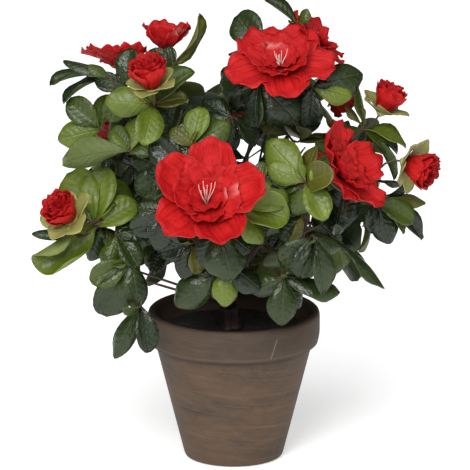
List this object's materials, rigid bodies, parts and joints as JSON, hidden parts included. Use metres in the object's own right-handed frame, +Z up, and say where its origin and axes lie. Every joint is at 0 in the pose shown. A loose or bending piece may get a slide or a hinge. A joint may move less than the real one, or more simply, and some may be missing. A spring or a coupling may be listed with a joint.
{
  "type": "potted azalea",
  "caption": "Artificial azalea shrub with whorled leaves and double blooms, standing in a tapered clay pot with a rolled rim.",
  "frame": {"origin": "centre of the pot's flat underside", "axes": "+Z up along the pot's axis, +X to the right as seen from the front, the front faces -Y"},
  "size_m": [0.3198, 0.2853, 0.3654],
  "materials": {
    "clay": "matt unglazed clay, grey-brown with fine turning lines",
    "soil": "rough, near black",
    "bark": "dark reddish brown, slightly rough",
    "foliage": "green satin leaves with red petals"
  },
  "bodies": {
    "root": {"bough-back-left": "bark", "bough-back-low": "bark", "bough-back-right": "bark", "bough-back-top": "bark", "bough-centre": "bark", "bough-front": "bark", "bough-front-low": "bark", "bough-front-right": "bark", "bough-left": "bark", "bough-lower-left": "bark", "bough-lower-right": "bark", "bough-main-back": "bark", "bough-main-front": "bark", "bough-main-left": "bark", "bough-main-right": "bark", "bough-main-top": "bark", "bough-right": "bark", "bough-top": "bark", "bough-upper-left": "bark", "bough-upper-right": "bark", "foliage-back-left": "foliage", "foliage-back-low": "foliage", "foliage-back-right": "foliage", "foliage-back-top": "foliage", "foliage-centre": "foliage", "foliage-front": "foliage", "foliage-front-low": "foliage", "foliage-front-right": "foliage", "foliage-left": "foliage", "foliage-lower-left": "foliage", "foliage-lower-right": "foliage", "foliage-right": "foliage", "foliage-top": "foliage", "foliage-upper-left": "foliage", "foliage-upper-right": "foliage", "pot": "clay", "soil": "soil", "trunk": "bark"}
  },
  "joints": []
}
